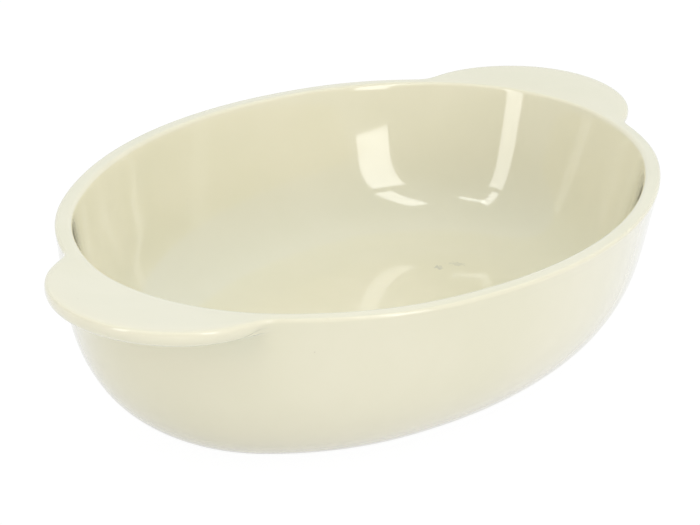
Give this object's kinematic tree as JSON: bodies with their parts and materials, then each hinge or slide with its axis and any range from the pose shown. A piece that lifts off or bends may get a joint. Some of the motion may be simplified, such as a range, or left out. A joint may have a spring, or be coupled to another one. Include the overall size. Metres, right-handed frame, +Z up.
{
  "type": "gratin dish",
  "caption": "Oval stoneware gratin dish with a glossy ivory glaze, slanted walls, a softly rounded base and broad flat lug handles level with its rim.",
  "frame": {"origin": "on the table under the middle of the dish, in the plane of its foot ring", "axes": "+X runs from lug to lug, +Y across the dish, +Z up"},
  "size_m": [0.35, 0.196, 0.066],
  "materials": {
    "stoneware": "fired stoneware, unglazed: fine dry grain with small dark iron specks",
    "ivory_glaze": "glossy ivory glaze, slightly thinner and warmer on the rounded edges"
  },
  "bodies": {
    "root": {"glazed_dish": "ivory_glaze", "foot_ring": "stoneware"}
  },
  "joints": []
}
